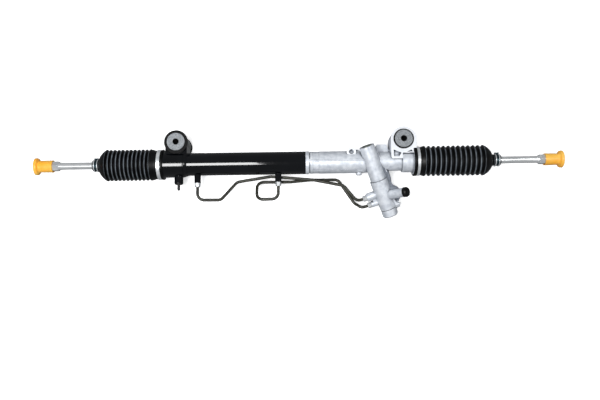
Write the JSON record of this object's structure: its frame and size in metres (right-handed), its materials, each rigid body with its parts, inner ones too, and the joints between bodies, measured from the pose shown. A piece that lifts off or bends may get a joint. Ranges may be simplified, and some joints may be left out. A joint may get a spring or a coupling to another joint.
{
  "type": "hydraulic steering rack",
  "caption": "Power steering rack with a tilted pinion tower and rotary valve, oil pipes along its cylinder, bellows boots, tie rods and two rubber-bushed mounts.",
  "frame": {"origin": "middle of the bore of the pinion-side mount bush", "axes": "+X along the rack towards the pinion-side tie rod, +Z along both mount bores towards the face that the bolt heads of the pinion tower look to, +Y away from the valve"},
  "size_m": [1.1126, 0.1894, 0.0858],
  "materials": {
    "cast_aluminium": "as-cast, satin",
    "zinc_plated_steel": "zinc plated, satin",
    "black_enamelled_tube": "gloss enamel",
    "black_enamelled_iron": "gloss enamel over a casting",
    "zinc_plated_stud": "zinc plated",
    "bushing_bronze": "satin",
    "seal_rubber": "matt",
    "spring_steel": "oiled",
    "rack_steel": "ground",
    "machined_steel": "machined",
    "ring_fluoroplastic": "filled fluoroplastic",
    "boot_rubber": "matt",
    "zinc_plated_band": "zinc plated strip",
    "bearing_steel": "ground",
    "tower_cap_steel": "passivated, dull",
    "guide_aluminium": "machined",
    "guide_screw_steel": "passivated, dull",
    "coated_pipe": "dull olive-black coating",
    "zinc_plated_nut": "zinc plated",
    "black_plastic": "moulded",
    "forged_steel": "forged and turned",
    "seat_plastic": "moulded acetal",
    "zinc_plated_rod": "zinc plated",
    "zinc_plated_clip": "zinc plated spring strip",
    "yellow_plastic": "moulded, slightly glossy",
    "bush_steel": "phosphated, speckled",
    "bush_rubber": "matt",
    "bush_shell_steel": "pressed tube"
  },
  "bodies": {
    "housing": {"rack_housing": "cast_aluminium", "valve_housing": "cast_aluminium", "valve_housing_bolts": "zinc_plated_steel", "cylinder_tube": "black_enamelled_tube", "end_housing": "black_enamelled_iron", "line_clip_stud": "zinc_plated_stud", "inner_rack_bushing": "bushing_bronze", "inner_rack_seal": "seal_rubber", "snap_rings": "spring_steel", "outer_rack_bushing": "bushing_bronze", "outer_rack_seal": "seal_rubber", "right_boot": "boot_rubber", "left_boot": "boot_rubber", "right_boot_band": "zinc_plated_band", "left_boot_band": "zinc_plated_band", "end_bearing": "bearing_steel", "valve_bearing_outer_ring": "bearing_steel", "valve_bearing_cage": "bearing_steel", "tower_cap": "tower_cap_steel", "input_needle_bearing": "bearing_steel", "input_dust_seal": "seal_rubber", "rack_guide": "guide_aluminium", "guide_springs": "spring_steel", "guide_screw": "guide_screw_steel", "guide_lock_nut": "guide_screw_steel", "left_port_pipe": "coated_pipe", "middle_port_pipe": "coated_pipe", "pipe_nuts": "zinc_plated_nut", "left_bush_core": "bush_steel", "left_bush_rubber": "bush_rubber", "left_bush_shell": "bush_shell_steel", "right_bush_core": "bush_steel", "right_bush_rubber": "bush_rubber", "right_bush_shell": "bush_shell_steel"},
    "rack": {"rack_bar": "rack_steel", "piston": "machined_steel", "piston_ring": "ring_fluoroplastic", "tab_washers": "spring_steel", "left_tie_rod_socket": "forged_steel", "right_tie_rod_socket": "forged_steel"},
    "pinion": {"pinion_shaft": "machined_steel", "valve_bearing_inner_ring": "bearing_steel", "valve_sleeve": "machined_steel", "valve_sleeve_rings": "ring_fluoroplastic", "sleeve_pin": "machined_steel", "torsion_bar": "spring_steel"},
    "input_shaft": {"input_shaft": "machined_steel", "torsion_bar_pin": "machined_steel"},
    "left_seat": {"left_ball_seat": "seat_plastic"},
    "left_tie_rod": {"left_tie_rod": "zinc_plated_rod", "left_jam_nut": "zinc_plated_nut", "left_boot_clip": "zinc_plated_clip"},
    "left_cap": {"left_thread_cap": "yellow_plastic"},
    "right_seat": {"right_ball_seat": "seat_plastic"},
    "right_tie_rod": {"right_tie_rod": "zinc_plated_rod", "right_jam_nut": "zinc_plated_nut", "right_boot_clip": "zinc_plated_clip"},
    "right_cap": {"right_thread_cap": "yellow_plastic"},
    "port_cap": {"pressure_port_cap": "black_plastic"}
  },
  "joints": [
    {"name": "rack_slide", "type": "slide", "parent": "housing", "child": "rack", "axis": [1, 0, 0], "range_m": [-0.088, 0.056], "deforming": ["left_boot", "right_boot"]},
    {"name": "pinion_turn", "type": "hinge", "parent": "housing", "child": "pinion", "pos_m": [-0.066, -0.04986, 0.02051], "axis": [0.3338, -0.874, -0.3531], "range_deg": [-662, 422]},
    {"name": "valve_twist", "type": "hinge", "parent": "pinion", "child": "input_shaft", "pos_m": [-0.066, -0.04986, 0.02051], "axis": [0.3338, -0.874, -0.3531], "range_deg": [-4, 4], "stiffness_Nm_per_rad": 60},
    {"name": "left_joint_swing_fore_aft", "type": "hinge", "parent": "rack", "child": "left_seat", "pos_m": [-0.605, -0.044, 0.006], "axis": [0, 0, 1], "range_deg": [-18, 18]},
    {"name": "left_joint_swing_up_down", "type": "hinge", "parent": "left_seat", "child": "left_tie_rod", "pos_m": [-0.605, -0.044, 0.006], "axis": [0, 1, 0], "range_deg": [-18, 18]},
    {"name": "left_cap_pull", "type": "slide", "parent": "left_tie_rod", "child": "left_cap", "axis": [-1, 0, 0], "range_m": [0, 0.05]},
    {"name": "right_joint_swing_fore_aft", "type": "hinge", "parent": "rack", "child": "right_seat", "pos_m": [0.155, -0.044, 0.006], "axis": [0, 0, 1], "range_deg": [-18, 18]},
    {"name": "right_joint_swing_up_down", "type": "hinge", "parent": "right_seat", "child": "right_tie_rod", "pos_m": [0.155, -0.044, 0.006], "axis": [0, 1, 0], "range_deg": [-18, 18]},
    {"name": "right_cap_pull", "type": "slide", "parent": "right_tie_rod", "child": "right_cap", "axis": [1, 0, 0], "range_m": [0, 0.05]},
    {"name": "port_cap_pull", "type": "slide", "parent": "housing", "child": "port_cap", "axis": [0.7428, 0.0133, 0.6694], "range_m": [0, 0.03]}
  ],
  "couplings": [
    {"joint": "pinion_turn", "follows": "rack_slide", "rad_per_m": 130.92}
  ]
}
